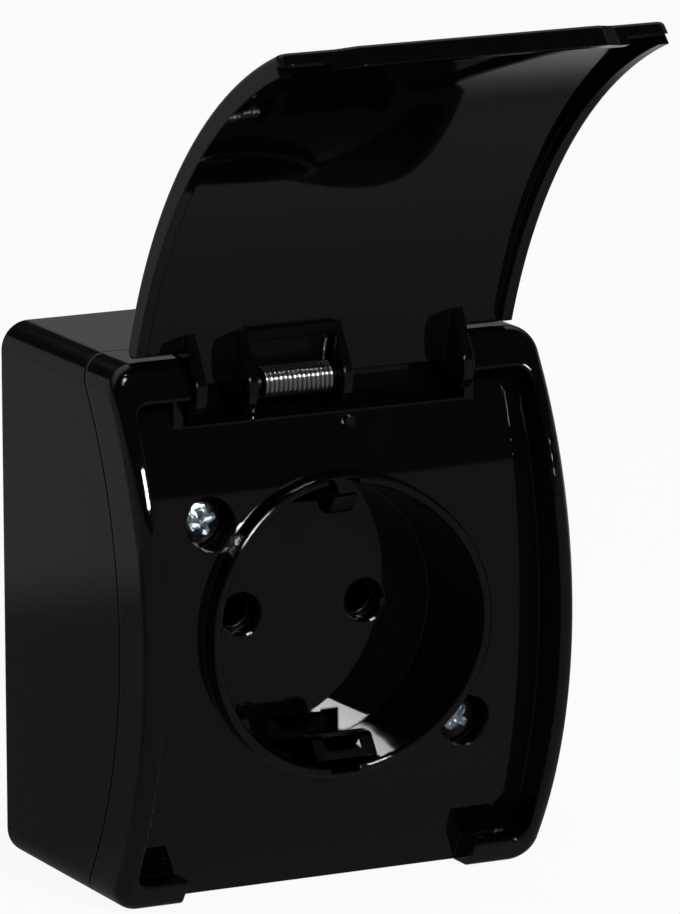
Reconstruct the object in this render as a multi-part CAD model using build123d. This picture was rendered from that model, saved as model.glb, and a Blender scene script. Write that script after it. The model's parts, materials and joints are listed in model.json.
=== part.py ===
from build123d import *
import os
from math import sqrt

# Surface mounted weatherproof socket outlet with a sprung lid that stands open.
# X is to the right seen from the front, +Y goes into the wall and Z is up.
# The origin is on the wall face, on the axis of the socket cup.
# A depth is a distance from the wall towards the front, which is -Y. Lengths are millimetres.

# Housing
WIDTH = 65.5            # across the wall
HEIGHT = 76.6
CORNER = 4.0            # corner radius seen from the front
RECESS = 6.4            # cheek fronts in front of the plate at mid height
FRONT_R = 64.0          # curve of the cheek fronts seen from the side
FRONT_EDGE = 2.0        # rounding of the outer front edge
JOINT_BACK = 2.8        # joint between box and cover behind the plate at mid height
JOINT_R = 63.0
JOINT_GAP = 0.4
CHEEK = 2.6             # wall of the cover and of the cheeks
CAVITY_CORNER = 1.4     # corner radius of all the hollows
PLATE_APEX = 41.4       # depth of the recessed plate at mid height
PLATE_R = 72.0
PLATE = 2.2
RECESS_CORNER = 2.0
RIM_EDGE = 0.45         # rounding of the inner edge of the rim
FOOT_H = 3.9            # feet at the bottom corners
FOOT_INSET = 10.55      # length of a foot from the outer side
EAR_H = 5.2             # ears that carry the hinge
EAR_INSET = 11.25

# Socket cup
CUP_R = 19.5            # at the floor
CUP_MOUTH_R = 20.1
COLLAR_R = 21.4
COLLAR_RISE = 2.9       # collar above the plate
COLLAR_EDGE = 0.5
CUP_DEEP = 13.2         # floor the plug stands on behind the plate
CUP_FLOOR_T = 2.2
PIN_X = 9.5             # plug pins, 19 mm apart
PIN_HOLE_R = 2.65
PIN_LEAD_IN = 0.5

# Cover screws, on a diagonal
SCREW_X = 19.4
SCREW_Z = 15.94
POCKET_R = 3.75
POCKET_WALL = 1.2
POCKET_DEPTH = 7.2      # from the plate apex
POCKET_FLOOR = 1.6
SEAL_WASHER = 0.7
SCREW_HEAD_R = 3.1
SCREW_HEAD = 2.2
SCREW_R = 1.6
SCREW_GRIP = 9.0        # length of the screw in the box
SCREW_PLAY = 0.05       # round every shank in its own hole
SCREW_CLEAR = 0.3       # round every shank in a piece that it clamps
CROSS_W = 0.9           # cross recess in the heads
CROSS_L = 3.4
CROSS_DEEP = 1.0

# Back box
BACK = 2.4
WALL = 3.2
LIP = 1.7               # outer lip of the box wall, in front of the seal
REBATE = 4.5            # depth of the step behind the lip
SEAL = 1.2
SKIRT = 1.1
SKIRT_PLAY = 0.2
BOSS_R = 3.4
BOSS_GAP = 0.2
FIX_Z = 29.0            # wall fixing holes above and below the middle
FIX_R = 2.25
FIX_BOSS_R = 4.6
FIX_BOSS = 2.0
ENTRY_D = 12.0          # depth of the cable entry
ENTRY_R = 7.5

# Cable entry seal
GROMMET_FLANGE = 1.2
GROMMET_WALL = 1.4
GROMMET_SINK = 0.3
GROMMET_PLAY = 0.05
GROMMET_HOLE_R = 3.5

# Contact carrier
CARRIER_R = 19.4
CARRIER_GAP = 0.5       # between carrier and cup floor
POST_Z = 15.5
POST_R = 3.2
POST_TOP = 7.5
CARRIER_HEAD_R = 2.9
CARRIER_HEAD = 2.0
CARRIER_BASE = 4.0      # carrier under the screw heads
POCKET_PLAY = 0.3       # round pieces in the carrier

# Contacts
SLEEVE_R = 2.35
SLEEVE_T = 0.6
SLEEVE_BASE = 2.5       # carrier under the sleeves
TAIL_W = 4.2
TAIL_T = 0.8
TAIL_L = 13.8
SLIT = 0.9
RING_T = 0.5
RING_IN = 3.4           # ring behind the mouth of the sleeve
RING_H = 3.0
CAGE_W = 6.6
CAGE_D = 6.6
CAGE_WALL = 0.9
CAGE_PLAY = 0.1
CAGE_Z = 11.0
EARTH_CAGE_Z = -7.8
TERM_HEAD_R = 2.6
TERM_HEAD = 1.6
TERM_LIFT = 1.0
TERM_TIP = 1.2

# Earth strap
STRAP_T = 0.6
STRAP_W = 4.2
STRAP_LEG_Z = 22.6
TOP_CLIP_W = 3.4
LOW_CLIP_W = 9.2
CLIP_TURN = 2.8         # from the cup floor to where the legs turn inwards
CLIP_TOP = 10.4         # from the cup floor to the hump
CLIP_HUMP_R = 15.7
CLIP_END = 13.8         # from the cup floor to the lead-in end
CLIP_END_R = 18.9
CLIP_BEND = 1.1
CLIP_SLOT_W = 5.6       # slot in the hump of the lower clip
TONGUE_W = 2.9
TONGUE_D = 8.8          # from the cup floor to the tongue
TONGUE_R = 12.9
CLIP_PLAY = 0.7
CLIP_CHANNEL = 4.4      # groove for the lower clip, through the collar
CLIP_WAY = 4.0          # length of the way through the cup wall, from the turn

# Lid and hinge
LID_OPEN = 136.8        # degrees from closed to the pose of the photo
LID_PROUD = 0.4         # lid in front of the cheeks at mid height
LID_FLAT = 12.7         # radius of the lid's curve over that of the cheek fronts
LID_SKIN = 1.8
LID_FLANGE = 3.4
LID_WALL = 1.6
LID_SIDE_GAP = 1.45
LID_END_GAP = 0.4
LID_LAP = 1.5           # lid end over the feet
LIP_RISE = 1.1          # finger lip on the free edge, between the feet
LIP_GAP = 1.8
LIP_SLOPE = 2.5
LID_CORNER = 1.6
LID_EDGE = 0.8
HINGE_DROP = 4.2        # hinge axis under the top face
HINGE_INSET = 2.56      # hinge axis behind the cheek front
PIN_R = 1.2
PIN_END = 5.0           # pin end inside the left ear
PIN_PLAY = 0.05
ROOT_RISE = 1.9         # top edge of the lid above the hinge axis, between the ears
LUG_R = 3.8
LUG_GAP = 0.3           # between lugs and ears
END_LUG = 1.6           # thickness of the lugs beside the ears
SPRING_LUG = 1.3        # thickness of the lugs beside the spring
GUSSET_IN = 0.43        # place on a lug where its gusset starts, in lug radii
GUSSET_LOW = 0.9
GUSSET_DROP = 7.8       # slope of the gusset, at the depth of the lid front
EAR_SWEEP = 5.2         # lid corners keep this far from the hinge axis, over the ears
TROUGH_R = 5.05
TROUGH_WALL = 1.5
SPRING_BAY_LEFT = -11.9
SPRING_BAY_RIGHT = 1.2
BAY_RIB = 1.2           # rib that closes the spring bay
BAY_RIB_RISE = 0.9
BAY_RIB_DROP = 5.2      # rib under the hinge axis, with the lid closed
SPRING_R = 2.3
SPRING_WIRE = 0.7
SPRING_LEFT = -10.4
SPRING_TURNS = 15
SPRING_PLAY = 0.4
PIP_X = 3.4             # small moulded pip on the plate
PIP_Z = 27.7
PIP_R = 0.8
PIP_H = 0.7

TINY = 0.01             # slack when edges are picked by their place
HALF_W = WIDTH / 2
HALF_H = HEIGHT / 2


def depth_on(apex, radius, height):
    """Depth of a curved front at a height above or below the cup axis."""
    return apex - radius + sqrt(radius ** 2 - height ** 2)


def barrel(apex, radius):
    """Cylinder along X whose front line lies at the depth apex."""
    return Pos(0, radius - apex, 0) * Rot(0, 90, 0) * Cylinder(radius, 2 * WIDTH)


def slab(outline, near, far):
    """Front outline drawn out between two depths."""
    return extrude(Plane.XZ.offset(near) * outline, far - near)


def rounded(inset, corner):
    """Outline of the housing, inset all round."""
    return RectangleRounded(WIDTH - 2 * inset, HEIGHT - 2 * inset, corner)


def block(left, right, near, far, low, high):
    """Box between two X, two depths and two heights."""
    middle = Pos((left + right) / 2, -(near + far) / 2, (low + high) / 2)
    return middle * Box(right - left, far - near, high - low)


def rod_x(depth, height, radius, left, right):
    """Round bar along X."""
    return Pos((left + right) / 2, -depth, height) * Rot(0, 90, 0) * Cylinder(radius, right - left)


def rod_y(x, z, radius, near, far):
    """Round bar from one depth to another."""
    return Pos(x, -(near + far) / 2, z) * Rot(90, 0, 0) * Cylinder(radius, far - near)


def rod_z(depth, radius, low, high):
    """Upright round bar in the middle of the width."""
    return Pos(0, -depth, (low + high) / 2) * Cylinder(radius, high - low)


def side_profile(points, left, right):
    """Closed side view given as (depth, height) points, drawn out along X."""
    outline = make_face(Polyline([(-depth, height) for depth, height in points], close=True))
    return Pos(left, 0, 0) * extrude(Plane.YZ * outline, right - left)


def near_front(shape, depth):
    """Edges of a shape that lie in front of a depth."""
    return shape.edges().filter_by(lambda edge: -edge.center().Y > depth)


# Positions that follow from the sizes above
FRONT_APEX = PLATE_APEX + RECESS
JOINT_APEX = PLATE_APEX - JOINT_BACK
CUP_FLOOR = PLATE_APEX - CUP_DEEP
LID_APEX = FRONT_APEX + LID_PROUD
LID_R = FRONT_R + LID_FLAT
HINGE_Z = HALF_H - HINGE_DROP
HINGE_D = depth_on(FRONT_APEX, FRONT_R, HINGE_Z) - HINGE_INSET
EAR_X = HALF_W - EAR_INSET
EAR_Z = HALF_H - EAR_H
FOOT_X = HALF_W - FOOT_INSET
FOOT_Z = FOOT_H - HALF_H
POCKET_D = PLATE_APEX - POCKET_DEPTH
SCREW_PLACES = [(-SCREW_X, SCREW_Z), (SCREW_X, -SCREW_Z)]
BOSS_TOP = POCKET_D - POCKET_FLOOR - BOSS_GAP
CARRIER_BACK = POST_TOP + STRAP_T
CARRIER_FRONT = CUP_FLOOR - CUP_FLOOR_T - CARRIER_GAP
CONTACT_D = CARRIER_BACK + SLEEVE_BASE
SLEEVE_OUT = SLEEVE_R + SLEEVE_T
SLEEVE_END = CARRIER_FRONT - CARRIER_GAP
CARRIER_HEAD_D = CARRIER_BACK + CARRIER_BASE
LINE_CAGE_D = CONTACT_D - CAGE_WALL - CAGE_PLAY
EARTH_CAGE_D = POST_TOP - CAGE_WALL - CAGE_PLAY
LUG_X = EAR_X - LUG_GAP
LUGS = [
    (-LUG_X, END_LUG - LUG_X),
    (SPRING_BAY_LEFT - SPRING_LUG, SPRING_BAY_LEFT),
    (SPRING_BAY_RIGHT, SPRING_BAY_RIGHT + SPRING_LUG),
    (LUG_X - END_LUG, LUG_X),
]


def make_base_box():
    body = slab(rounded(0, CORNER), 0, FRONT_APEX) & barrel(JOINT_APEX - JOINT_GAP, JOINT_R)
    body -= slab(rounded(WALL, CAVITY_CORNER), BACK, FRONT_APEX)
    step = slab(rounded(LIP, CORNER - LIP), 0, FRONT_APEX)
    body -= step - barrel(JOINT_APEX - JOINT_GAP - REBATE, JOINT_R)
    for x, z in SCREW_PLACES:
        body += rod_y(x, z, BOSS_R, BACK / 2, BOSS_TOP)
        body -= rod_y(x, z, SCREW_R + SCREW_PLAY, BOSS_TOP - SCREW_GRIP - 1, BOSS_TOP + 1)
    for side in (-1, 1):
        body += rod_y(0, side * POST_Z, POST_R, BACK / 2, POST_TOP)
        body -= rod_y(0, side * POST_Z, SCREW_R + SCREW_PLAY, BACK, POST_TOP + 1)
        body += rod_y(0, side * FIX_Z, FIX_BOSS_R, BACK / 2, BACK + FIX_BOSS)
        body -= rod_y(0, side * FIX_Z, FIX_R, -1, BACK + FIX_BOSS + 1)
    body -= rod_z(ENTRY_D, ENTRY_R, -HALF_H - 1, WALL + 1 - HALF_H)
    return body


def make_cover_seal():
    ring = slab(rounded(LIP + SKIRT_PLAY, CORNER - LIP - SKIRT_PLAY), 0, FRONT_APEX)
    ring -= slab(rounded(WALL, CAVITY_CORNER), 0, FRONT_APEX)
    low = JOINT_APEX - JOINT_GAP - REBATE
    return ring & (barrel(low + SEAL, JOINT_R) - barrel(low, JOINT_R))


def recess_outline():
    """Front view of the recess, with the gap between the feet and the gap between the ears."""
    side = HALF_W - CHEEK
    main = Pos(0, (EAR_Z + FOOT_Z) / 2) * RectangleRounded(2 * side, EAR_Z - FOOT_Z, RECESS_CORNER)
    low = Pos(0, FOOT_Z) * Rectangle(2 * FOOT_X, 4 * FOOT_H)
    high = Pos(0, EAR_Z) * Rectangle(2 * EAR_X, 4 * EAR_H)
    return main + low + high


def on_rim(edge):
    """Does an edge run along the inner front edge of the cheeks, feet and ears."""
    middle = edge.center()
    at_front = -middle.Y > depth_on(FRONT_APEX, FRONT_R, middle.Z) - TINY
    inside = abs(middle.X) < HALF_W - CHEEK + TINY
    return at_front and inside and FOOT_Z - TINY < middle.Z < EAR_Z + TINY


def clip_ways(grow):
    """Ways through the cup for the earth clips, open towards the box."""
    back = CUP_FLOOR - CUP_FLOOR_T - 1
    wall_r = (CUP_MOUTH_R + COLLAR_R) / 2
    channel = CLIP_CHANNEL / 2
    top = TOP_CLIP_W / 2 + grow
    low = LOW_CLIP_W / 2 + grow
    tongue = TONGUE_W / 2 + grow
    floor_r = CLIP_HUMP_R - grow
    end = CUP_FLOOR + CLIP_END + grow
    turn = CUP_FLOOR + CLIP_TURN + CLIP_WAY
    ways = block(-top, top, back, end, floor_r, wall_r)
    ways += block(-channel, channel, back, end, -wall_r, -floor_r)
    ways += block(-top, top, back, turn, floor_r, COLLAR_R + 1)
    ways += block(-low, low, back, turn, -COLLAR_R - 1, -floor_r)
    ways += block(-tongue, tongue, back, CUP_FLOOR + 1, -floor_r - 1, grow - TONGUE_R)
    return ways


def make_front_cover():
    outer = slab(rounded(0, CORNER), 0, 2 * FRONT_APEX) & barrel(FRONT_APEX, FRONT_R)
    outer = fillet(near_front(outer, depth_on(JOINT_APEX, JOINT_R, HALF_H)), FRONT_EDGE)
    hollow = slab(rounded(CHEEK, CAVITY_CORNER), 0, FRONT_APEX) & barrel(PLATE_APEX - PLATE, PLATE_R)
    outer -= slab(recess_outline(), 0, 2 * FRONT_APEX) - barrel(PLATE_APEX, PLATE_R)
    outer = fillet(outer.edges().filter_by(on_rim), RIM_EDGE)
    body = outer - barrel(JOINT_APEX, JOINT_R) - hollow
    trough = rod_x(HINGE_D, HINGE_Z, TROUGH_R, -EAR_X, EAR_X)
    trough_shell = rod_x(HINGE_D, HINGE_Z, TROUGH_R + TROUGH_WALL, -EAR_X - TROUGH_WALL, EAR_X + TROUGH_WALL)
    body += trough_shell & slab(rounded(CHEEK / 2, CORNER), 0, HINGE_D)
    body -= trough

    skirt_in = LIP + SKIRT_PLAY
    skirt = slab(rounded(skirt_in, CORNER - skirt_in), 0, FRONT_APEX)
    skirt -= slab(rounded(skirt_in + SKIRT, CAVITY_CORNER), 0, FRONT_APEX)
    skirt_low = JOINT_APEX - JOINT_GAP - REBATE + SEAL
    body += skirt & (barrel(JOINT_APEX + PLATE, JOINT_R) - barrel(skirt_low, JOINT_R))

    for x, z in SCREW_PLACES:
        tube = rod_y(x, z, POCKET_R + POCKET_WALL, POCKET_D - POCKET_FLOOR, FRONT_APEX)
        body += tube & barrel(PLATE_APEX - PLATE / 2, PLATE_R)
        body -= rod_y(x, z, POCKET_R, POCKET_D, 2 * FRONT_APEX)
        body -= rod_y(x, z, SCREW_R + SCREW_CLEAR, 0, FRONT_APEX)

    cup_back = CUP_FLOOR - CUP_FLOOR_T
    collar = rod_y(0, 0, COLLAR_R, cup_back, 2 * FRONT_APEX) & barrel(PLATE_APEX + COLLAR_RISE, PLATE_R)
    mouth = [(0, CUP_FLOOR), (CUP_R, CUP_FLOOR), (CUP_MOUTH_R, PLATE_APEX + COLLAR_RISE)]
    mouth += [(CUP_MOUTH_R, 2 * FRONT_APEX), (0, 2 * FRONT_APEX)]
    mouth = make_face(Polyline([(radius, -depth) for radius, depth in mouth], close=True))
    cup_space = revolve(mouth, Axis.Y, 360)
    collar -= cup_space
    crest = depth_on(PLATE_APEX + COLLAR_RISE, PLATE_R, COLLAR_R) - COLLAR_EDGE
    collar = fillet(near_front(collar, crest), COLLAR_EDGE)
    body = body - rod_y(0, 0, (CUP_MOUTH_R + COLLAR_R) / 2, 0, 2 * FRONT_APEX) + collar

    for side in (-1, 1):
        body -= rod_y(side * PIN_X, 0, PIN_HOLE_R, 0, FRONT_APEX)
        lead_in = Cone(PIN_HOLE_R, PIN_HOLE_R + PIN_LEAD_IN, PIN_LEAD_IN)
        body -= Pos(side * PIN_X, PIN_LEAD_IN / 2 - CUP_FLOOR, 0) * Rot(90, 0, 0) * lead_in
    body -= clip_ways(CLIP_PLAY)
    body -= rod_x(HINGE_D, HINGE_Z, PIN_R + PIN_PLAY / 2, -EAR_X - PIN_END, WIDTH)
    pip_low = depth_on(PLATE_APEX, PLATE_R, PIP_Z)
    body += rod_y(PIP_X, PIP_Z, PIP_R, pip_low - PLATE / 2, pip_low + PIP_H)
    return body


def lid_place(shape):
    """Swing a piece of the closed lid to the open pose."""
    home = Pos(0, -HINGE_D, HINGE_Z)
    return home * Rot(-LID_OPEN, 0, 0) * home.inverse() * shape


def lid_outline(inset, top):
    """Front view of the closed lid with its finger lip, inset on three sides."""
    half = HALF_W - CHEEK - LID_SIDE_GAP - inset
    end = FOOT_Z - LID_LAP + inset
    lip = FOOT_X - LIP_GAP - inset
    points = [(half, top), (half, end), (lip, end), (lip - LIP_SLOPE, end - LIP_RISE)]
    points += [(-x, z) for x, z in reversed(points)]
    return make_face(Polyline(points, close=True))


def make_lid():
    top = EAR_Z - LID_END_GAP
    outline = lid_outline(0, top)
    outline = fillet(outline.vertices(), LID_CORNER)
    skin_in = barrel(LID_APEX - LID_SKIN, LID_R - LID_SKIN)
    skin_middle = barrel(LID_APEX - LID_SKIN / 2, LID_R)
    shell = slab(outline, 0, 2 * LID_APEX) & barrel(LID_APEX, LID_R)
    shell = fillet(near_front(shell, LID_APEX / 2), LID_EDGE)
    shell -= barrel(LID_APEX - LID_FLANGE, LID_R)
    shell -= slab(lid_outline(LID_WALL, HALF_H), 0, 2 * LID_APEX) & skin_in
    root = block(-LUG_X, LUG_X, 0, 2 * LID_APEX, top - EAR_H, HINGE_Z + ROOT_RISE)
    shell += (root & barrel(LID_APEX, LID_R)) - skin_in
    foot_space = barrel(FRONT_APEX + LID_END_GAP, FRONT_R)
    for side in (-1, 1):
        left, right = sorted((side * (FOOT_X - LID_END_GAP), side * WIDTH))
        shell -= block(left, right, 0, FRONT_APEX, -HEIGHT, FOOT_Z + LID_END_GAP) & foot_space
        left, right = sorted((side * LUG_X, side * WIDTH))
        shell -= rod_x(HINGE_D, HINGE_Z, EAR_SWEEP, left, right)

    gusset = [
        (HINGE_D, HINGE_Z),
        (HINGE_D - GUSSET_IN * LUG_R, HINGE_Z - GUSSET_LOW * LUG_R),
        (LID_APEX, HINGE_Z - GUSSET_DROP),
        (LID_APEX, HINGE_Z),
    ]
    for left, right in LUGS:
        shell += rod_x(HINGE_D, HINGE_Z, LUG_R, left, right) & skin_middle
        shell += side_profile(gusset, left, right) & skin_middle
    rib_z = HINGE_Z - BAY_RIB_DROP
    rib = block(SPRING_BAY_LEFT, SPRING_BAY_RIGHT, 0, LID_APEX, rib_z - BAY_RIB / 2, rib_z + BAY_RIB / 2)
    rib_face = barrel(LID_APEX - LID_SKIN - BAY_RIB_RISE, LID_R - LID_SKIN)
    shell += (rib & skin_middle) - rib_face
    shell -= rod_x(HINGE_D, HINGE_Z, PIN_R + PIN_PLAY, -WIDTH, WIDTH)
    return lid_place(shell)


def make_hinge_pin():
    """A short pin through each ear and its lug, and one through the coil and the lugs beside it."""
    spans = [
        (-EAR_X - PIN_END + PIN_PLAY, LUGS[0][1]),
        (LUGS[1][0], LUGS[2][1]),
        (LUGS[3][0], HALF_W - CHEEK),
    ]
    return Compound(children=[rod_x(HINGE_D, HINGE_Z, PIN_R, left, right) for left, right in spans])


def make_lid_spring():
    """Close wound coil as a ridged sleeve, with a leg on the trough and a leg on the lid."""
    inside = SPRING_R - SPRING_WIRE
    right = SPRING_BAY_RIGHT - SPRING_PLAY
    pitch = (right - SPRING_LEFT) / SPRING_TURNS
    points = [(SPRING_LEFT, inside)]
    for turn in range(SPRING_TURNS):
        points.append((SPRING_LEFT + turn * pitch, SPRING_R - SPRING_WIRE / 2))
        points.append((SPRING_LEFT + (turn + 0.5) * pitch, SPRING_R))
    points.append((right, SPRING_R - SPRING_WIRE / 2))
    points.append((right, inside))
    coil = revolve(make_face(Polyline(points, close=True)), Axis.X, 360)
    coil = Pos(0, -HINGE_D, HINGE_Z) * coil
    back = HINGE_D - SPRING_R
    drop = sqrt(TROUGH_R ** 2 - SPRING_R ** 2)
    low_leg = block(SPRING_LEFT, SPRING_LEFT + SPRING_WIRE, back, back + SPRING_WIRE, HINGE_Z - drop, HINGE_Z)
    front = HINGE_D - SPRING_WIRE
    high_leg = block(right - SPRING_WIRE, right, front, HINGE_D, HINGE_Z + inside, HINGE_Z + LUG_R)
    return coil + low_leg + high_leg


def cross_head(x, z, under, radius, height):
    """Pan head with a cross recess, standing on the depth under."""
    top = under + height
    head = rod_y(x, z, radius, under, top)
    head = chamfer(near_front(head, top - height / 4), height / 4)
    arm = CROSS_L / 2
    half = CROSS_W / 2
    head -= block(x - arm, x + arm, top - CROSS_DEEP, top + 1, z - half, z + half)
    head -= block(x - half, x + half, top - CROSS_DEEP, top + 1, z - arm, z + arm)
    return head


def make_cover_screws():
    under = POCKET_D + SEAL_WASHER
    shapes = []
    for x, z in SCREW_PLACES:
        head = cross_head(x, z, under, SCREW_HEAD_R, SCREW_HEAD)
        shapes.append(head + rod_y(x, z, SCREW_R, BOSS_TOP - SCREW_GRIP, under))
    return Compound(children=shapes)


def make_screw_seals():
    shapes = []
    for x, z in SCREW_PLACES:
        ring = rod_y(x, z, POCKET_R - SCREW_CLEAR, POCKET_D, POCKET_D + SEAL_WASHER)
        shapes.append(ring - rod_y(x, z, SCREW_R + SCREW_PLAY, POCKET_D - 1, POCKET_D + SEAL_WASHER + 1))
    return Compound(children=shapes)


def make_contact_carrier():
    body = rod_y(0, 0, CARRIER_R, CARRIER_BACK, CARRIER_FRONT)
    cage = CAGE_W / 2 + POCKET_PLAY
    open_front = CARRIER_FRONT + 1
    for side in (-1, 1):
        body -= rod_y(0, side * POST_Z, SCREW_R + SCREW_CLEAR, 0, open_front)
        body -= rod_y(0, side * POST_Z, CARRIER_HEAD_R + POCKET_PLAY, CARRIER_HEAD_D, open_front)
        x = side * PIN_X
        body -= rod_y(x, 0, SLEEVE_OUT + RING_T + POCKET_PLAY, CONTACT_D, open_front)
        tail = TAIL_W / 2 + POCKET_PLAY
        body -= block(x - tail, x + tail, CONTACT_D, open_front, 0, CAGE_Z)
        low = CAGE_Z - cage
        high = CAGE_Z + cage
        body -= block(x - cage, x + cage, LINE_CAGE_D, open_front, low, high)
        body -= block(x - tail, x + tail, CONTACT_D, LINE_CAGE_D + CAGE_D, CAGE_Z, 2 * CARRIER_R)
    body -= block(-cage, cage, 0, open_front, EARTH_CAGE_Z - cage, EARTH_CAGE_Z + cage)
    return body


def make_carrier_screws():
    shapes = []
    for side in (-1, 1):
        head = cross_head(0, side * POST_Z, CARRIER_HEAD_D, CARRIER_HEAD_R, CARRIER_HEAD)
        shapes.append(head + rod_y(0, side * POST_Z, SCREW_R, BACK + SCREW_CLEAR, CARRIER_HEAD_D))
    return Compound(children=shapes)


def make_line_contact(side):
    """Split sleeve with its foot and the tail that runs into the cage clamp."""
    x = side * PIN_X
    body = rod_y(x, 0, SLEEVE_OUT, CONTACT_D, SLEEVE_END)
    body -= rod_y(x, 0, SLEEVE_R, CONTACT_D + TAIL_T, SLEEVE_END + 1)
    left, right = sorted((x, x + side * 2 * SLEEVE_OUT))
    body -= block(left, right, CONTACT_D + TAIL_T, SLEEVE_END + 1, -SLIT / 2, SLIT / 2)
    body += block(x - TAIL_W / 2, x + TAIL_W / 2, CONTACT_D, CONTACT_D + TAIL_T, 0, TAIL_L)
    return body


def make_contact_clip(side):
    """Spring ring round a contact sleeve, open on the inner side."""
    x = side * PIN_X
    low = SLEEVE_END - RING_IN
    body = rod_y(x, 0, SLEEVE_OUT + RING_T, low, low + RING_H)
    body -= rod_y(x, 0, SLEEVE_OUT, low - 1, low + RING_H + 1)
    left, right = sorted((x, x - side * 2 * SLEEVE_OUT))
    return body - block(left, right, low - 1, low + RING_H + 1, -SLIT, SLIT)


def make_clamp(x, z, back):
    """Cage clamp round a strip that lies just above its back wall."""
    half = CAGE_W / 2
    inner = half - CAGE_WALL
    body = block(x - half, x + half, back, back + CAGE_D, z - half, z + half)
    head = back + CAGE_D - 2 * CAGE_WALL
    body -= block(x - inner, x + inner, back + CAGE_WALL, head, z - half - 1, z + half + 1)
    return body - rod_y(x, z, SCREW_R + SCREW_PLAY, back + CAGE_D / 2, back + CAGE_D + 1)


def make_terminal_screws():
    shapes = []
    for x, z, back in CAGES:
        under = back + CAGE_D + TERM_LIFT
        top = under + TERM_HEAD
        half = CROSS_W / 2
        screw = rod_y(x, z, TERM_HEAD_R, under, top)
        screw -= block(x - SCREW_HEAD_R, x + SCREW_HEAD_R, top - CROSS_DEEP, top + 1, z - half, z + half)
        shapes.append(screw + rod_y(x, z, SCREW_R, back + CAGE_D - 2 * CAGE_WALL - TERM_TIP, under))
    return Compound(children=shapes)


def clip_profile(side):
    """Leg, turn, hump and lead-in end of one earth clip in the side view."""
    turn = CUP_FLOOR + CLIP_TURN
    hump = CUP_FLOOR + CLIP_TOP
    points = [
        (POST_TOP + STRAP_T / 2, STRAP_LEG_Z),
        (turn, STRAP_LEG_Z),
        (hump - 2 * STRAP_T, CLIP_HUMP_R + STRAP_T / 2),
        (hump + 2 * STRAP_T, CLIP_HUMP_R + STRAP_T / 2),
        (CUP_FLOOR + CLIP_END - STRAP_T / 2, CLIP_END_R - STRAP_T / 2),
    ]
    line = FilletPolyline([(-depth, side * height) for depth, height in points], radius=CLIP_BEND)
    return Plane.YZ * trace(line, STRAP_T)


def make_earth_strap():
    low = LOW_CLIP_W / 2
    top = TOP_CLIP_W / 2
    strap = STRAP_W / 2
    body = block(-strap, strap, POST_TOP, CARRIER_BACK, -STRAP_LEG_Z, STRAP_LEG_Z)
    body += Pos(-top, 0, 0) * extrude(clip_profile(1), TOP_CLIP_W)
    body += Pos(-low, 0, 0) * extrude(clip_profile(-1), LOW_CLIP_W)
    tongue = TONGUE_W / 2
    slot = CLIP_SLOT_W / 2
    tongue_d = CUP_FLOOR + TONGUE_D
    body -= block(-slot, slot, tongue_d, CUP_FLOOR + CLIP_END - 2 * STRAP_T, -CLIP_END_R, 1 - CLIP_HUMP_R)
    body += block(-tongue, tongue, tongue_d - STRAP_T, tongue_d, -CLIP_HUMP_R - STRAP_T, -TONGUE_R)
    for side in (-1, 1):
        body -= rod_y(0, side * POST_Z, SCREW_R + SCREW_CLEAR, 0, CARRIER_FRONT)
    return body


def make_cable_grommet():
    low = GROMMET_SINK - HALF_H
    inner_face = WALL - HALF_H
    radius = ENTRY_R - GROMMET_PLAY
    body = rod_z(ENTRY_D, radius, low, inner_face)
    body += rod_z(ENTRY_D, ENTRY_R + GROMMET_FLANGE, inner_face, inner_face + GROMMET_FLANGE)
    body -= rod_z(ENTRY_D, radius - GROMMET_WALL, low - 1, inner_face)
    body += rod_z(ENTRY_D, GROMMET_HOLE_R + GROMMET_WALL, low + GROMMET_SINK, inner_face)
    return body - rod_z(ENTRY_D, GROMMET_HOLE_R, low - 1, 0)


CAGES = [
    (-PIN_X, CAGE_Z, LINE_CAGE_D),
    (PIN_X, CAGE_Z, LINE_CAGE_D),
    (0, EARTH_CAGE_Z, EARTH_CAGE_D),
]

PIECES = {
    "base_box": make_base_box(),
    "cover_seal": make_cover_seal(),
    "cable_grommet": make_cable_grommet(),
    "earth_strap": make_earth_strap(),
    "contact_carrier": make_contact_carrier(),
    "carrier_screws": make_carrier_screws(),
    "live_contact": make_line_contact(-1),
    "neutral_contact": make_line_contact(1),
    "live_contact_clip": make_contact_clip(-1),
    "neutral_contact_clip": make_contact_clip(1),
    "live_clamp": make_clamp(*CAGES[0]),
    "neutral_clamp": make_clamp(*CAGES[1]),
    "earth_clamp": make_clamp(*CAGES[2]),
    "terminal_screws": make_terminal_screws(),
    "front_cover": make_front_cover(),
    "screw_seals": make_screw_seals(),
    "cover_screws": make_cover_screws(),
    "hinge_pin": make_hinge_pin(),
    "lid_spring": make_lid_spring(),
    "lid": make_lid(),
}

os.makedirs("parts", exist_ok=True)
for node, shape in PIECES.items():
    export_step(shape, f"parts/{node}.step")
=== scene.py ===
import json
import math

import bpy
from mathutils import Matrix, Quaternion, Vector


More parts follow.
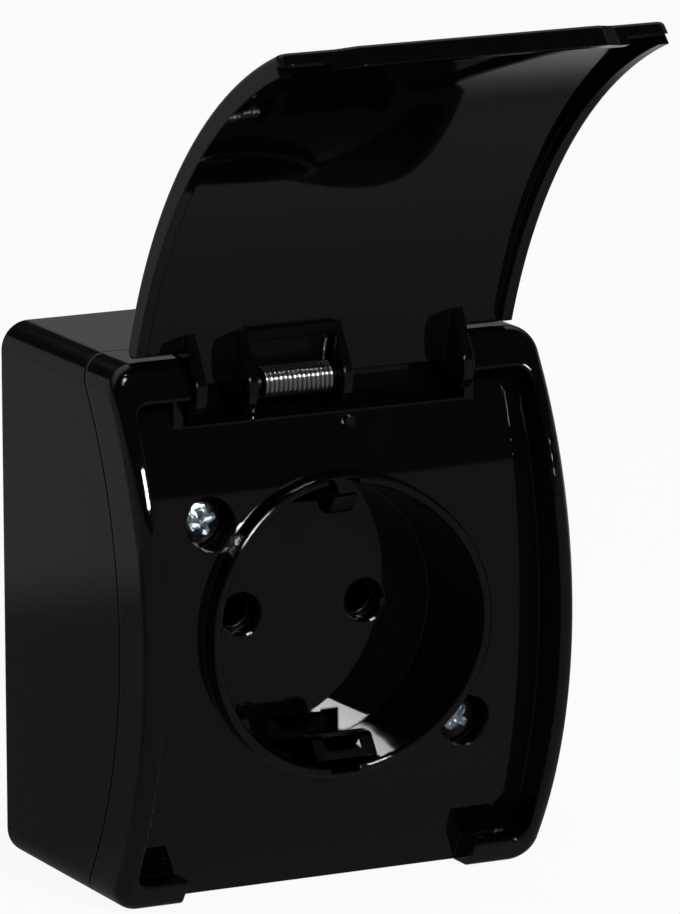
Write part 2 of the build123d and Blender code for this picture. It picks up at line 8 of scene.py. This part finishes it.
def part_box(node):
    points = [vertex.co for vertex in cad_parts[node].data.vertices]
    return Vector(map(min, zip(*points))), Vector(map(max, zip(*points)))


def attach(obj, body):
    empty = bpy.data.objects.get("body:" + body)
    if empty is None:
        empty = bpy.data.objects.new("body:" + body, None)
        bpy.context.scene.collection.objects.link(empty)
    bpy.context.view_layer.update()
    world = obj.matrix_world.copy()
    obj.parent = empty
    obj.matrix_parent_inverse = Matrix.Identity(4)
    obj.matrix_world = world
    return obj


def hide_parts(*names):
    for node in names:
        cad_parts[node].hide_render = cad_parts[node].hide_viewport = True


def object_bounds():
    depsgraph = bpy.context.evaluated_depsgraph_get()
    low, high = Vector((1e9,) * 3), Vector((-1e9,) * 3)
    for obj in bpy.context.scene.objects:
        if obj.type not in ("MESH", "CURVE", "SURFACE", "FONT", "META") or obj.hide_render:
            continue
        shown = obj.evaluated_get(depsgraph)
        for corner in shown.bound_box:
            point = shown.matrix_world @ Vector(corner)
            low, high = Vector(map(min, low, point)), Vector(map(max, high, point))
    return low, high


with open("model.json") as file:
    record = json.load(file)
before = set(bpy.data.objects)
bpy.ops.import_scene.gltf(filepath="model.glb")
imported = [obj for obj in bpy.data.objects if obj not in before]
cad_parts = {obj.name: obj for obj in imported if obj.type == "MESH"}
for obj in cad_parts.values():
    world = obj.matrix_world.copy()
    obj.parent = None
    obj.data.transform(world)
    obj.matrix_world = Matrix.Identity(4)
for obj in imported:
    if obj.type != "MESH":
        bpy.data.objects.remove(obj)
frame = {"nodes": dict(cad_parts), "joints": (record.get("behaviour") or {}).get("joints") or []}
cad_low, cad_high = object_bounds()


# Back box: the deep black tray that is screwed to the wall.
# It is injection moulded in gloss black plastic, so its faces are almost mirrors with a slight
# waviness from cooling, and every edge is softened a little by the mould.

def group_input(group, name, kind, value):
    """Named input of a shader group, with the value it starts from."""
    group.interface.new_socket(name, in_out="INPUT", socket_type=kind).default_value = value


def group_output(group, name, kind):
    """Named output of a shader group."""
    group.interface.new_socket(name, in_out="OUTPUT", socket_type=kind)


def object_noise(tree, scale, detail, stretch=(1.0, 1.0, 1.0)):
    """Noise that stays on the piece as it moves, drawn out along an axis where that is asked."""
    place = tree.nodes.new("ShaderNodeTexCoord")
    mapping = tree.nodes.new("ShaderNodeMapping")
    mapping.inputs["Scale"].default_value = stretch
    noise = tree.nodes.new("ShaderNodeTexNoise")
    noise.inputs["Scale"].default_value = scale
    noise.inputs["Detail"].default_value = detail
    tree.links.new(place.outputs["Object"], mapping.inputs["Vector"])
    tree.links.new(mapping.outputs["Vector"], noise.inputs["Vector"])
    return noise


def moulded_surface_group():
    """Waviness of a cooled moulding, with faint smears from handling."""
    group = bpy.data.node_groups.new("moulded surface", "ShaderNodeTree")
    group_input(group, "Clean Roughness", "NodeSocketFloat", 0.06)
    group_input(group, "Smear Roughness", "NodeSocketFloat", 0.16)
    group_input(group, "Wave Height", "NodeSocketFloat", 1.0)
    group_output(group, "Roughness", "NodeSocketFloat")
    group_output(group, "Height", "NodeSocketFloat")
    given = group.nodes.new("NodeGroupInput")
    result = group.nodes.new("NodeGroupOutput")
    wave = object_noise(group, scale=55.0, detail=1.0)
    smear = object_noise(group, scale=38.0, detail=5.0)
    smear.inputs["Distortion"].default_value = 0.8
    threshold = group.nodes.new("ShaderNodeMapRange")
    threshold.inputs["From Min"].default_value = 0.52
    threshold.inputs["From Max"].default_value = 0.75
    rough = group.nodes.new("ShaderNodeMix")
    lift = group.nodes.new("ShaderNodeMath")
    lift.operation = "MULTIPLY"
    link = group.links.new
    link(smear.outputs["Fac"], threshold.inputs["Value"])
    link(threshold.outputs["Result"], rough.inputs["Factor"])
    link(given.outputs["Clean Roughness"], rough.inputs["A"])
    link(given.outputs["Smear Roughness"], rough.inputs["B"])
    link(wave.outputs["Fac"], lift.inputs[0])
    link(given.outputs["Wave Height"], lift.inputs[1])
    link(rough.outputs["Result"], result.inputs["Roughness"])
    link(lift.outputs["Value"], result.inputs["Height"])
    return group


moulded_surface = moulded_surface_group()
deep_black = (0.0010, 0.0010, 0.0011, 1.0)
plastic_ior = 1.5
smear_dulling = 0.05
wave_strength, wave_rise = 0.35, 0.00004


def new_finish(name):
    """New material, with its node tree and its surface shader."""
    material = bpy.data.materials.new(name)
    material.use_nodes = True
    return material, material.node_tree, material.node_tree.nodes["Principled BSDF"]


def raise_surface(tree, shader, height, strength, rise, edge_radius=None):
    """Bump a shader's surface by a height, over edges that are rounded where a radius is given."""
    bump = tree.nodes.new("ShaderNodeBump")
    bump.inputs["Strength"].default_value = strength
    bump.inputs["Distance"].default_value = rise
    tree.links.new(height, bump.inputs["Height"])
    tree.links.new(bump.outputs["Normal"], shader.inputs["Normal"])
    if edge_radius is not None:
        edge = tree.nodes.new("ShaderNodeBevel")
        edge.inputs["Radius"].default_value = edge_radius
        tree.links.new(edge.outputs["Normal"], bump.inputs["Normal"])


def gloss_black(name, clean_roughness, wave_height, edge_radius=None, specular=0.5):
    """Gloss black moulding: deep black, mirror smooth, edges softened by the mould."""
    material, tree, plastic = new_finish(name)
    plastic.inputs["Base Color"].default_value = deep_black
    plastic.inputs["IOR"].default_value = plastic_ior
    plastic.inputs["Specular IOR Level"].default_value = specular
    surface = tree.nodes.new("ShaderNodeGroup")
    surface.node_tree = moulded_surface
    surface.inputs["Clean Roughness"].default_value = clean_roughness
    surface.inputs["Smear Roughness"].default_value = clean_roughness + smear_dulling
    surface.inputs["Wave Height"].default_value = wave_height
    tree.links.new(surface.outputs["Roughness"], plastic.inputs["Roughness"])
    height = surface.outputs["Height"]
    raise_surface(tree, plastic, height, wave_strength, wave_rise, edge_radius)
    return material


def dress(node, material):
    """Give a piece of the frame its finish."""
    mesh = frame["nodes"][node].data
    mesh.materials.clear()
    mesh.materials.append(material)


box_plastic = gloss_black("box plastic", clean_roughness=0.09, wave_height=1.0, edge_radius=0.0003)
dress("base_box", box_plastic)


# Soft seals: the ring in the joint between box and cover, the cable entry seal in the bottom wall
# and the washers under the cover screws. They are moulded in black rubber with a dull, slightly
# dusty skin, and are squeezed between the parts that they seal.

def soft_rubber():
    """Black rubber, dull in places, with a fine grain."""
    material, tree, rubber = new_finish("soft rubber")
    rubber.inputs["Base Color"].default_value = (0.012, 0.012, 0.012, 1.0)
    rubber.inputs["IOR"].default_value = 1.48
    grain = object_noise(tree, scale=900.0, detail=4.0)
    dull = tree.nodes.new("ShaderNodeMapRange")
    dull.inputs["To Min"].default_value = 0.55
    dull.inputs["To Max"].default_value = 0.8
    tree.links.new(grain.outputs["Fac"], dull.inputs["Value"])
    tree.links.new(dull.outputs["Result"], rubber.inputs["Roughness"])
    raise_surface(tree, rubber, grain.outputs["Fac"], strength=0.3, rise=0.0001)
    return material


seal_rubber = soft_rubber()
for seal in ("cover_seal", "cable_grommet", "screw_seals"):
    dress(seal, seal_rubber)


# Earth strap: one strip of spring steel that runs behind the contact carrier, near black as painted
# shade.
# Its two ends are bent forward into the cup as the spring clips that touch the plug's sides, and
# the wide lower one has a slot in its hump.

def worn_metal_group():
    """Fine rolling lines and dull patches of a plated or drawn metal."""
    group = bpy.data.node_groups.new("worn metal", "ShaderNodeTree")
    group_input(group, "Bright Colour", "NodeSocketColor", (0.6, 0.6, 0.6, 1.0))
    group_input(group, "Dull Colour", "NodeSocketColor", (0.4, 0.4, 0.4, 1.0))
    group_input(group, "Bright Roughness", "NodeSocketFloat", 0.2)
    group_input(group, "Dull Roughness", "NodeSocketFloat", 0.4)
    group_output(group, "Colour", "NodeSocketColor")
    group_output(group, "Roughness", "NodeSocketFloat")
    group_output(group, "Height", "NodeSocketFloat")
    given = group.nodes.new("NodeGroupInput")
    result = group.nodes.new("NodeGroupOutput")
    lines = object_noise(group, scale=2600.0, detail=3.0, stretch=(1.0, 0.08, 1.0))
    patches = object_noise(group, scale=420.0, detail=6.0)
    tint = group.nodes.new("ShaderNodeMix")
    tint.data_type = "RGBA"
    rough = group.nodes.new("ShaderNodeMix")
    link = group.links.new
    link(patches.outputs["Fac"], tint.inputs["Factor"])
    link(given.outputs["Bright Colour"], tint.inputs["A"])
    link(given.outputs["Dull Colour"], tint.inputs["B"])
    link(patches.outputs["Fac"], rough.inputs["Factor"])
    link(given.outputs["Bright Roughness"], rough.inputs["A"])
    link(given.outputs["Dull Roughness"], rough.inputs["B"])
    link(tint.outputs["Result"], result.inputs["Colour"])
    link(rough.outputs["Result"], result.inputs["Roughness"])
    link(lines.outputs["Fac"], result.inputs["Height"])
    return group


worn_metal = worn_metal_group()
patch_dulling = 0.15
metal_edge_radius = 0.00012


def metal_finish(name, bright, dull, roughness, line_strength=0.25, line_rise=0.00002):
    """Metal with fine lines, between a bright and a dull colour."""
    material, tree, metal = new_finish(name)
    metal.inputs["Metallic"].default_value = 1.0
    finish = tree.nodes.new("ShaderNodeGroup")
    finish.node_tree = worn_metal
    finish.inputs["Bright Colour"].default_value = (*bright, 1.0)
    finish.inputs["Dull Colour"].default_value = (*dull, 1.0)
    finish.inputs["Bright Roughness"].default_value = roughness
    finish.inputs["Dull Roughness"].default_value = roughness + patch_dulling
    tree.links.new(finish.outputs["Colour"], metal.inputs["Base Color"])
    tree.links.new(finish.outputs["Roughness"], metal.inputs["Roughness"])
    height = finish.outputs["Height"]
    raise_surface(tree, metal, height, line_strength, line_rise, metal_edge_radius)
    return material


def mesh_piece(name, points, faces, material):
    """New piece from points and faces, in its finish."""
    mesh = bpy.data.meshes.new(name)
    mesh.from_pydata(points, [], faces)
    mesh.materials.append(material)
    piece = bpy.data.objects.new(name, mesh)
    bpy.context.scene.collection.objects.link(piece)
    return piece


def thicken(piece, thickness):
    """Give a sheet its thickness, half of it to each side."""
    sheet = piece.modifiers.new("sheet", "SOLIDIFY")
    sheet.thickness = thickness
    sheet.offset = 0.0


# Near-black colour is painted shade: it stands in for the dark that the clips' bright metal
# mirrors.
strip_painted_shade = metal_finish(
    "strip in painted shade", bright=(0.060, 0.060, 0.062), dull=(0.035, 0.035, 0.037), roughness=0.12,
)
strip_thickness = 0.0006
bend_reach, bend_steps = 0.0004, 6
back_depth, back_half = 0.0078, 0.0021
leg_height, turn_depth = 0.0226, 0.0310
hump_height, hump_start, hump_end = 0.0160, 0.0374, 0.0398
slot_start, slot_end, slot_end_height = 0.0383, 0.0410, 0.01764
lip_depth, lip_height = 0.0417, 0.0186
upper_half, lower_half, slot_half = 0.0017, 0.0046, 0.0028


def bent_path(corners):
    """Line of points through the corners in the side view, with each inner corner rounded."""
    path = [Vector(corners[0])]
    for before, corner, after in zip(corners, corners[1:], corners[2:]):
        corner = Vector(corner)
        start = corner + (Vector(before) - corner).normalized() * bend_reach
        stop = corner + (Vector(after) - corner).normalized() * bend_reach
        for step in range(bend_steps + 1):
            past = step / bend_steps
            left = 1 - past
            path.append(start * left ** 2 + corner * 2 * past * left + stop * past ** 2)
    path.append(Vector(corners[-1]))
    return path


def lay_strip(points, faces, corners, columns, slotted=False):
    """Add a run of strip in rows of faces, from (depth, height) corners and its columns in X."""
    path = bent_path(corners)
    first = len(points)
    wide = len(columns)
    for depth, height in path:
        points.extend((x, -depth, height) for x in columns)
    for row in range(len(path) - 1):
        middle = (path[row].x + path[row + 1].x) / 2
        for column in range(wide - 1):
            if slotted and column == 1 and slot_start < middle < slot_end:
                continue
            corner = first + row * wide + column
            faces.append((corner, corner + 1, corner + wide + 1, corner + wide))


def clip_corners(side):
    """Leg, turn, hump and lead-in lip of a clip, above (1) or below (-1) the cup's axis."""
    run = [
        (back_depth, leg_height), (turn_depth, leg_height),
        (hump_start, hump_height), (slot_start, hump_height), (hump_end, hump_height),
        (slot_end, slot_end_height), (lip_depth, lip_height),
    ]
    return [(depth, side * height) for depth, height in run]


strap_points, strap_faces = [], []
back_corners = [(back_depth, -leg_height), (back_depth, leg_height)]
slotted_columns = (-lower_half, -slot_half, slot_half, lower_half)
lay_strip(strap_points, strap_faces, back_corners, (-back_half, back_half))
lay_strip(strap_points, strap_faces, clip_corners(1), (-upper_half, upper_half))
lay_strip(strap_points, strap_faces, clip_corners(-1), slotted_columns, slotted=True)
strap = mesh_piece("earth_strap_bent", strap_points, strap_faces, strip_painted_shade)
thicken(strap, strip_thickness)
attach(strap, "housing")
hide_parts("earth_strap")


# Contact carrier: the insulating block behind the cup that holds the live parts.
# It is a filled thermoset moulding with a dry, slightly speckled face, and is screwed to the box
# over the earth strap. Its almost black tone is painted shade where it shows through the cup floor.

def carrier_moulding():
    """Dry filled plastic with fine speckles, almost black as painted shade."""
    material, tree, filled = new_finish("carrier moulding")
    filled.inputs["Roughness"].default_value = 0.8
    filled.inputs["Specular IOR Level"].default_value = 0.02
    speckle = object_noise(tree, scale=1500.0, detail=3.0)
    # Both speckle tones are near black: painted shade where the carrier shows through the cup
    # floor.
    tint = tree.nodes.new("ShaderNodeValToRGB")
    dark, pale = tint.color_ramp.elements
    dark.position, dark.color = 0.35, (0.0008, 0.0007, 0.0006, 1.0)
    pale.position, pale.color = 0.6, (0.0016, 0.0014, 0.0012, 1.0)
    tree.links.new(speckle.outputs["Fac"], tint.inputs["Fac"])
    tree.links.new(tint.outputs["Color"], filled.inputs["Base Color"])
    raise_surface(tree, filled, speckle.outputs["Fac"], strength=0.2, rise=0.00005)
    return material


dress("contact_carrier", carrier_moulding())


# Live parts: split sleeves that take the plug's pins, and the cage clamps for the wires.
# They are stamped and folded from tinned brass, coloured far darker than brass as painted shade
# in the pin holes, and lie in pockets of the carrier.

# Colour far darker than brass: painted shade that keeps the pin holes dark.
brass_in_painted_shade = metal_finish(
    "tinned brass", bright=(0.10, 0.095, 0.085), dull=(0.07, 0.065, 0.055), roughness=0.16,
)
for contact in ("live_contact", "neutral_contact", "live_clamp", "neutral_clamp", "earth_clamp"):
    dress(contact, brass_in_painted_shade)


# Sleeve rings: small clips of blued spring steel that squeeze the brass sleeves.
# They are rolled from strip and pushed over the sleeve from the front.

spring_strip = metal_finish(
    "spring strip", bright=(0.36, 0.37, 0.40), dull=(0.22, 0.22, 0.25), roughness=0.26,
)
for ring in ("live_contact_clip", "neutral_contact_clip"):
    dress(ring, spring_strip)


# Screws: zinc plated steel with a cross recess. Two hold the carrier to the box, three clamp the
# wires, and two long ones with domed heads hold the cover, deep in their round pockets.

zinc_plate = metal_finish(
    "zinc plate", bright=(0.76, 0.84, 0.88), dull=(0.46, 0.51, 0.55), roughness=0.10,
    line_strength=0.7, line_rise=0.00012,
)
for screws in ("carrier_screws", "terminal_screws"):
    dress(screws, zinc_plate)

screw_low, screw_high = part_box("cover_screws")
screw_length = screw_high.y - screw_low.y
head_radius, head_rise = 0.0031, 0.0022
screw_x, screw_z = screw_high.x - head_radius, screw_high.z - head_radius
crown_radius, crown_drop, crown_rings = 0.0028, 0.0011, 18
rim_radius, rim_back, side_back = 0.0030, crown_drop + 0.0001, crown_drop + 0.0004
shank_radius, tip_radius, tip_taper = 0.0016, 0.0010, 0.0006
cross_half, cross_reach, cross_deep, cross_rise = 0.00045, 0.0019, 0.0011, 0.4
upper_turn, lower_turn = math.radians(20), math.radians(52)
screw_steps = 72
sharp_edge = math.radians(40)
screw_profile = []
for ring in range(1, crown_rings + 1):
    radius = crown_radius * ring / crown_rings
    screw_profile.append((radius, crown_drop * (radius / head_radius) ** 2))
screw_profile += [
    (rim_radius, rim_back), (head_radius, side_back), (head_radius, head_rise),
    (shank_radius, head_rise), (shank_radius, screw_length - tip_taper), (tip_radius, screw_length),
]


def recess_depth(radius, angle):
    """How deep the cross recess is at a place on the crown: deepest at the middle."""
    sides = abs(radius * math.cos(angle)), abs(radius * math.sin(angle))
    across, along = sorted(sides)
    if across < cross_half and along < cross_reach:
        return cross_deep * (1 - cross_rise * along / cross_reach)
    return 0.0


def turn_screw(points, faces, x, z, turn):
    """Add one domed screw, its cross recess turned by an angle, from the crown to the tip."""
    first = len(points)
    points.append((x, screw_low.y + cross_deep, z))
    for radius, back in screw_profile:
        for step in range(screw_steps):
            angle = 2 * math.pi * step / screw_steps
            sunk = recess_depth(radius, angle - turn) if back < crown_drop else 0.0
            across, up = radius * math.cos(angle), radius * math.sin(angle)
            points.append((x + across, screw_low.y + back + sunk, z + up))
    tip = len(points)
    points.append((x, screw_high.y, z))
    last = (len(screw_profile) - 1) * screw_steps
    for step in range(screw_steps):
        here, there = first + 1 + step, first + 1 + (step + 1) % screw_steps
        faces.append((first, here, there))
        for inner in range(0, last, screw_steps):
            outer = inner + screw_steps
            faces.append((here + inner, here + outer, there + outer, there + inner))
        faces.append((here + last, tip, there + last))


screw_points, screw_faces = [], []
turn_screw(screw_points, screw_faces, -screw_x, screw_z, upper_turn)
turn_screw(screw_points, screw_faces, screw_x, -screw_z, lower_turn)
domed_screws = mesh_piece("cover_screws_domed", screw_points, screw_faces, zinc_plate)
domed_screws.data.shade_smooth()
domed_screws.data.set_sharp_from_angle(angle=sharp_edge)
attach(domed_screws, "housing")
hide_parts("cover_screws")


# Front cover: one moulding with the curved cheeks, the recessed plate, the cup and its collar,
# the feet below and the ears above. It has the same gloss black as the box, better polished.
# A small web of the same plastic makes the cup floor whole beside the lower clip.

cover_roughness, cover_wave = 0.03, 0.8
cover_plastic = gloss_black("cover plastic", cover_roughness, cover_wave, edge_radius=0.00035)
dress("front_cover", cover_plastic)

web_half, web_low, web_high = 0.0026, -0.0152, -0.0118
web_front, web_back, web_taper = -0.02822, -0.0268, 0.0003
web_points = []
for depth, inset in ((web_front, 0.0), (web_back, web_taper)):
    half, low, high = web_half - inset, web_low + inset, web_high - inset
    web_points += [
        (-half, depth, low), (half, depth, low), (half, depth, high), (-half, depth, high),
    ]
web_faces = [(3, 2, 1, 0), (4, 5, 6, 7)]
for side in range(4):
    ahead = (side + 1) % 4
    web_faces.append((side + 4, ahead + 4, ahead, side))
web_plastic = gloss_black("cup floor plastic", cover_roughness, cover_wave)
web = mesh_piece("cup_floor_web", web_points, web_faces, web_plastic)
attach(web, "housing")


# Hinge pin: short drawn steel pins with a black oxide finish, one through each ear and its lug and
# one through the coil and the two lugs beside it.

black_steel = metal_finish(
    "black steel", bright=(0.07, 0.07, 0.075), dull=(0.04, 0.04, 0.045), roughness=0.2,
)
dress("hinge_pin", black_steel)


# Lid spring: a torsion spring of round wire, close wound round the hinge pin between two lugs of
# the lid. One leg bears on the trough of the cover, and the other lies on the lid and pulls it
# shut.

spring_wire = metal_finish(
    "spring wire", bright=(0.52, 0.52, 0.53), dull=(0.36, 0.36, 0.37), roughness=0.10,
)
hinge = frame["joints"][0]["pos_m"]
hinge_depth, hinge_height = hinge[1], hinge[2]
spring_low, spring_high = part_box("lid_spring")
wire_radius = 0.00034
coil_radius = 0.0023 - wire_radius
coil_turns, turn_steps = 15, 28
coil_left, coil_right = spring_low.x + wire_radius, spring_high.x - wire_radius
leg_bends = ((0.0019, 0.0010), (0.00115, 0.0034), (0.00055, 0.0052))


def wire(name, points):
    """Round spring wire along a line of points."""
    curve = bpy.data.curves.new(name, "CURVE")
    curve.dimensions = "3D"
    curve.bevel_depth = wire_radius
    curve.bevel_resolution = 3
    curve.use_fill_caps = True
    line = curve.splines.new("POLY")
    line.points.add(len(points) - 1)
    for spot, point in zip(line.points, points):
        spot.co = (*point, 1.0)
    piece = bpy.data.objects.new(name, curve)
    bpy.context.scene.collection.objects.link(piece)
    piece.data.materials.append(spring_wire)
    return piece


coil_points = [(coil_left, hinge_depth + coil_radius, spring_low.z)]
coil_steps = coil_turns * turn_steps
for step in range(coil_steps + 1):
    share = step / coil_steps
    x = coil_left + share * (coil_right - coil_left)
    angle = math.pi - 2 * math.pi * coil_turns * share
    forward, up = coil_radius * math.cos(angle), coil_radius * math.sin(angle)
    coil_points.append((x, hinge_depth - forward, hinge_height + up))
coil = wire("lid_spring_coil", coil_points)
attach(coil, "housing")
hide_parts("lid_spring")

leg_points = [coil_points[-1]]
for back, rise in leg_bends:
    leg_points.append((coil_right, hinge_depth + back, hinge_height + rise))
lid_leg = wire("lid_spring_leg", leg_points)
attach(lid_leg, "lid")


# Lid: the curved cover with its flanges, hinge lugs and gussets, moulded in one piece and highly
# polished on both faces. A thin dull sheet laid in the bay behind the spring is painted shade. The
# lid stands open at rest.

lid_plastic = gloss_black(
    "lid plastic", clean_roughness=0.035, wave_height=0.7, edge_radius=0.00035,
)
dress("lid", lid_plastic)

# A dull, low-gloss sheet over the bay: painted shade behind the spring.
bay_painted_shade_plastic = gloss_black("bay painted shade plastic", clean_roughness=0.42, wave_height=1.0, specular=0.12)
bay_thickness = 0.00008
open_turn = math.radians(136.8)
bay_left, bay_right = -0.0119, 0.0012
inside_radius, inside_centre, rib_centre = 0.0749, -0.02856, -0.02946
rib_heights = [0.02834, 0.0289, 0.02946]
bay_low, bay_rise, bay_rows = 0.0296, 0.0062, 10
bay_heights = [bay_low + bay_rise * row / bay_rows for row in range(bay_rows + 1)]
bay_line = [(height, rib_centre) for height in rib_heights]
bay_line += [(height, inside_centre) for height in bay_heights]


def on_open_lid(x, height, centre):
    """Point on the lid's inner face, from its height with the lid shut, turned about the hinge."""
    depth = centre + math.sqrt(inside_radius ** 2 - height ** 2)
    out, up = depth + hinge_depth, height - hinge_height
    turned_out = out * math.cos(open_turn) - up * math.sin(open_turn)
    turned_up = out * math.sin(open_turn) + up * math.cos(open_turn)
    return (x, hinge_depth - turned_out, hinge_height + turned_up)


bay_points = [on_open_lid(x, *place) for place in bay_line for x in (bay_left, bay_right)]
bay_faces = []
for corner in range(0, len(bay_points) - 2, 2):
    bay_faces.append((corner, corner + 1, corner + 3, corner + 2))
bay = mesh_piece("spring_bay_painted_shade", bay_points, bay_faces, bay_painted_shade_plastic)
thicken(bay, bay_thickness)
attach(bay, "lid")


# Studio: a pale floor, one soft lamp in front, and a dark room round the table that only mirrors
# in the gloss plastic. The camera stands where the photograph was taken from.

def ramp(tree, value, low, high, at_low=0.0, at_high=1.0):
    """Value that goes from at_low to at_high while the given one goes from low to high."""
    spread = tree.nodes.new("ShaderNodeMapRange")
    spread.inputs["From Min"].default_value = low
    spread.inputs["From Max"].default_value = high
    spread.inputs["To Min"].default_value = at_low
    spread.inputs["To Max"].default_value = at_high
    tree.links.new(value, spread.inputs["Value"])
    return spread.outputs["Result"]


def calculate(tree, operation, first, second):
    """Result of one operation on two values."""
    step = tree.nodes.new("ShaderNodeMath")
    step.operation = operation
    tree.links.new(first, step.inputs[0])
    tree.links.new(second, step.inputs[1])
    return step.outputs["Value"]


def object_axes(tree):
    """Place on the object, split into its axes."""
    place = tree.nodes.new("ShaderNodeTexCoord")
    axes = tree.nodes.new("ShaderNodeSeparateXYZ")
    tree.links.new(place.outputs["Object"], axes.inputs["Vector"])
    return axes.outputs


def paper_white():
    """Pale paper: white to the camera with its soft shadow, and dim where the gloss mirrors it,
    with a painted shadow just behind the object.
    """
    material, tree, paper = new_finish("paper white")
    paper.inputs["Base Color"].default_value = (0.82, 0.82, 0.82, 1.0)
    paper.inputs["Roughness"].default_value = 0.9
    axes = object_axes(tree)
    # Tone the gloss mirrors: 0.14 in front, a painted shadow of 0.07 just behind the object,
    # brighter far behind and off to the right.
    front_then_painted_shadow = ramp(tree, axes["Y"], -0.05, 0.0, at_low=0.14, at_high=0.07)
    far = ramp(tree, axes["Y"], 0.13, 0.16, at_high=0.10)
    beside = ramp(tree, axes["Y"], 0.0, 0.04)
    right = ramp(tree, axes["X"], 0.05, 0.14, at_high=0.35)
    ground = calculate(tree, "ADD", front_then_painted_shadow, far)
    pale = calculate(tree, "MULTIPLY", beside, right)
    table = calculate(tree, "ADD", ground, pale)
    path = tree.nodes.new("ShaderNodeLightPath").outputs
    tone = tree.nodes.new("ShaderNodeMix")
    tone.inputs["A"].default_value = 1.0
    glow = tree.nodes.new("ShaderNodeEmission")
    seen = ramp(tree, path["Is Camera Ray"], 0.0, 1.0, at_high=0.93)
    mirrored = calculate(tree, "MAXIMUM", path["Is Glossy Ray"], path["Is Transmission Ray"])
    share = calculate(tree, "MAXIMUM", seen, mirrored)
    mix = tree.nodes.new("ShaderNodeMixShader")
    link = tree.links.new
    link(path["Is Glossy Ray"], tone.inputs["Factor"])
    link(table, tone.inputs["B"])
    link(tone.outputs["Result"], glow.inputs["Strength"])
    link(share, mix.inputs["Fac"])
    link(paper.outputs["BSDF"], mix.inputs[1])
    link(glow.outputs["Emission"], mix.inputs[2])
    link(mix.outputs["Shader"], tree.nodes["Material Output"].inputs["Surface"])
    return material


floor_gap, floor_reach = 0.0002, 12.0
floor_height = cad_low.z - floor_gap
floor_signs = ((-1, -1), (1, -1), (1, 1), (-1, 1))
floor_points = [(x * floor_reach, y * floor_reach, floor_height) for x, y in floor_signs]
floor = mesh_piece("studio_floor", floor_points, [(0, 1, 2, 3)], paper_white())

scene = bpy.context.scene
world = bpy.data.worlds.new("studio")
scene.world = world
world.use_nodes = True
sky = world.node_tree.nodes["Background"]
sky.inputs["Color"].default_value = (1.0, 1.0, 1.0, 1.0)
sky.inputs["Strength"].default_value = 0.30

room_radius = 3.0
bpy.ops.mesh.primitive_uv_sphere_add(segments=96, ring_count=48, radius=room_radius)
room = bpy.context.object
room.name = "dark_room"
room.visible_camera = False
room.visible_diffuse = False
room.visible_shadow = False
room.visible_transmission = False


def room_cloth():
    """Dark walls: pale table in front below eye height, dim cloth above, grey ceiling behind."""
    material, tree, starting_shader = new_finish("room cloth")
    tree.nodes.remove(starting_shader)
    axes = object_axes(tree)
    below = ramp(
        tree, axes["Y"], 0.1 * room_radius, -0.2 * room_radius, at_low=0.20, at_high=0.14,
    )
    eye_height = ramp(tree, axes["Z"], 0.286 * room_radius, 0.298 * room_radius)
    walls = tree.nodes.new("ShaderNodeMix")
    walls.inputs["B"].default_value = 0.02
    high = ramp(tree, axes["Z"], 0.45 * room_radius, 0.8 * room_radius, at_high=0.6)
    behind = ramp(tree, axes["Y"], 0.0, 0.25 * room_radius)
    ceiling = calculate(tree, "MULTIPLY", high, behind)
    tone = calculate(tree, "ADD", walls.outputs["Result"], ceiling)
    glow = tree.nodes.new("ShaderNodeEmission")
    glow.inputs["Color"].default_value = (1.0, 0.97, 0.94, 1.0)
    link = tree.links.new
    link(eye_height, walls.inputs["Factor"])
    link(below, walls.inputs["A"])
    link(tone, glow.inputs["Strength"])
    link(glow.outputs["Emission"], tree.nodes["Material Output"].inputs["Surface"])
    return material


room.data.materials.append(room_cloth())

lamp_direction, lamp_distance = Vector((0.122, -0.874, 0.456)), 1.5
lamp_width, lamp_height, lamp_radiance = 0.29, 0.25, 78.0
lamp = bpy.data.lights.new("front_softbox", "AREA")
lamp.shape = "RECTANGLE"
lamp.size, lamp.size_y = lamp_width, lamp_height
lamp.energy = lamp_radiance * math.pi * lamp_width * lamp_height
softbox = bpy.data.objects.new("front_softbox", lamp)
scene.collection.objects.link(softbox)
softbox.location = lamp_direction.normalized() * lamp_distance
softbox.rotation_mode = "QUATERNION"
softbox.rotation_quaternion = lamp_direction.to_track_quat("Z", "Y")

turn, rise, roll = 0.459, 0.214, -0.004
aim, camera_distance = Vector((0.008888, -0.022, 0.019201)), 1.17587
towards_camera = Vector(
    (-math.sin(turn) * math.cos(rise), -math.cos(turn) * math.cos(rise), math.sin(rise))
)
camera_data = bpy.data.cameras.new("photo_camera")
camera_data.lens = 332.2
camera_data.sensor_width = 36.0
camera = bpy.data.objects.new("photo_camera", camera_data)
scene.collection.objects.link(camera)
camera.location = aim + camera_distance * towards_camera
camera.rotation_mode = "QUATERNION"
look = (-towards_camera).to_track_quat("-Z", "Y")
camera.rotation_quaternion = look @ Quaternion((0, 0, 1), roll)
scene.camera = camera
scene.view_settings.view_transform = "Standard"
